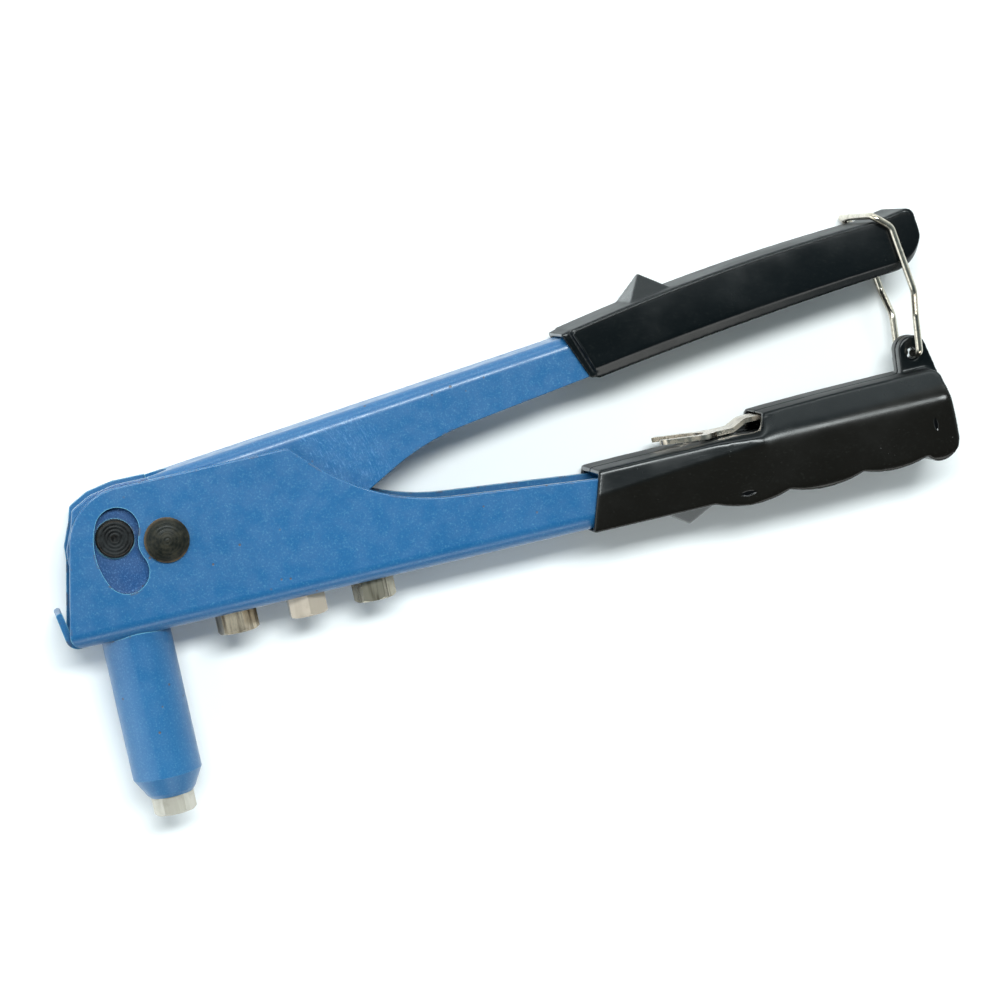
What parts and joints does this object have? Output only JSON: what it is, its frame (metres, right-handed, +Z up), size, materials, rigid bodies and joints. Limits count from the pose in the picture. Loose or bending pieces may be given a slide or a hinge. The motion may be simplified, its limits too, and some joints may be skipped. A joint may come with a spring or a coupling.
{
  "type": "hand riveter",
  "caption": "Hand riveter for blind rivets: hinged lever, self-gripping pull-up jaws, spare nosepieces, stowed spanner and wire handle latch.",
  "frame": {"origin": "bottom centre of the bounding box, with the tool lying on its side", "axes": "+X from the nose end to the handle ends, -Y the way the nosepiece points, +Z up out of the side the tool lies on, along every hinge pin"},
  "size_m": [0.2494, 0.1164, 0.029],
  "materials": {
    "blue_paint": "satin",
    "nose_paint": "satin",
    "black_plastic": "gloss",
    "black_oxide": "satin",
    "plated_steel": "satin",
    "nickel_wire": "polished",
    "hard_steel": "satin",
    "spring_steel": "satin"
  },
  "bodies": {
    "frame": {"body_frame": "blue_paint", "nose_housing": "nose_paint", "housing_ring_nut": "plated_steel", "nosepiece_3_2": "plated_steel", "nosepiece_2_4": "plated_steel", "nosepiece_4_0": "plated_steel", "nosepiece_4_8": "plated_steel", "pivot_pin": "black_oxide", "pivot_washer": "plated_steel", "pivot_retaining_ring": "spring_steel", "lower_grip_left": "black_plastic", "lower_grip_right": "black_plastic"},
    "lever": {"lever": "blue_paint", "upper_grip": "black_plastic", "pull_pin_left": "black_oxide", "pull_pin_right": "black_oxide", "pivot_bush": "hard_steel"},
    "carriage": {"pull_head": "hard_steel", "draw_tube": "hard_steel", "jaw_case": "hard_steel", "jaw_spring": "spring_steel", "return_spring": "spring_steel"},
    "pusher": {"jaw_pusher": "hard_steel"},
    "front_jaw": {"jaw_front": "hard_steel"},
    "rear_jaw": {"jaw_rear": "hard_steel"},
    "bail": {"latch_bail": "nickel_wire"},
    "spanner": {"nosepiece_wrench": "nickel_wire"}
  },
  "joints": [
    {"name": "lever_hinge", "type": "hinge", "parent": "frame", "child": "lever", "pos_m": [-0.09215, 0.01463, 0.0145], "axis": [0, 0, 1], "range_deg": [-4.5, 40], "deforming": ["latch_bail", "return_spring"]},
    {"name": "jaw_carriage", "type": "slide", "parent": "frame", "child": "carriage", "axis": [0, 1, 0], "range_m": [-0.0093, 0.0012]},
    {"name": "pusher_slide", "type": "slide", "parent": "carriage", "child": "pusher", "axis": [0, 1, 0], "range_m": [0, 0.002], "stiffness_N_per_m": 500, "springref_m": -0.002, "deforming": ["jaw_spring"]},
    {"name": "front_jaw_slide", "type": "slide", "parent": "carriage", "child": "front_jaw", "axis": [-0.1564, 0.9877, 0], "range_m": [0, 0.0021]},
    {"name": "rear_jaw_slide", "type": "slide", "parent": "carriage", "child": "rear_jaw", "axis": [0.1564, 0.9877, 0], "range_m": [0, 0.0021]},
    {"name": "bail_hinge", "type": "hinge", "parent": "frame", "child": "bail", "pos_m": [0.11815, 0.01762, 0.0145], "axis": [0, 0, 1], "range_deg": [-100, 0]},
    {"name": "spanner_slide", "type": "slide", "parent": "frame", "child": "spanner", "axis": [-1, 0, 0], "range_m": [0, 0.045]}
  ],
  "couplings": [
    {"joint": "jaw_carriage", "follows": "lever_hinge", "m_per_rad": -0.013155},
    {"joint": "front_jaw_slide", "follows": "pusher_slide", "ratio": 1.0125},
    {"joint": "rear_jaw_slide", "follows": "pusher_slide", "ratio": 1.0125}
  ]
}
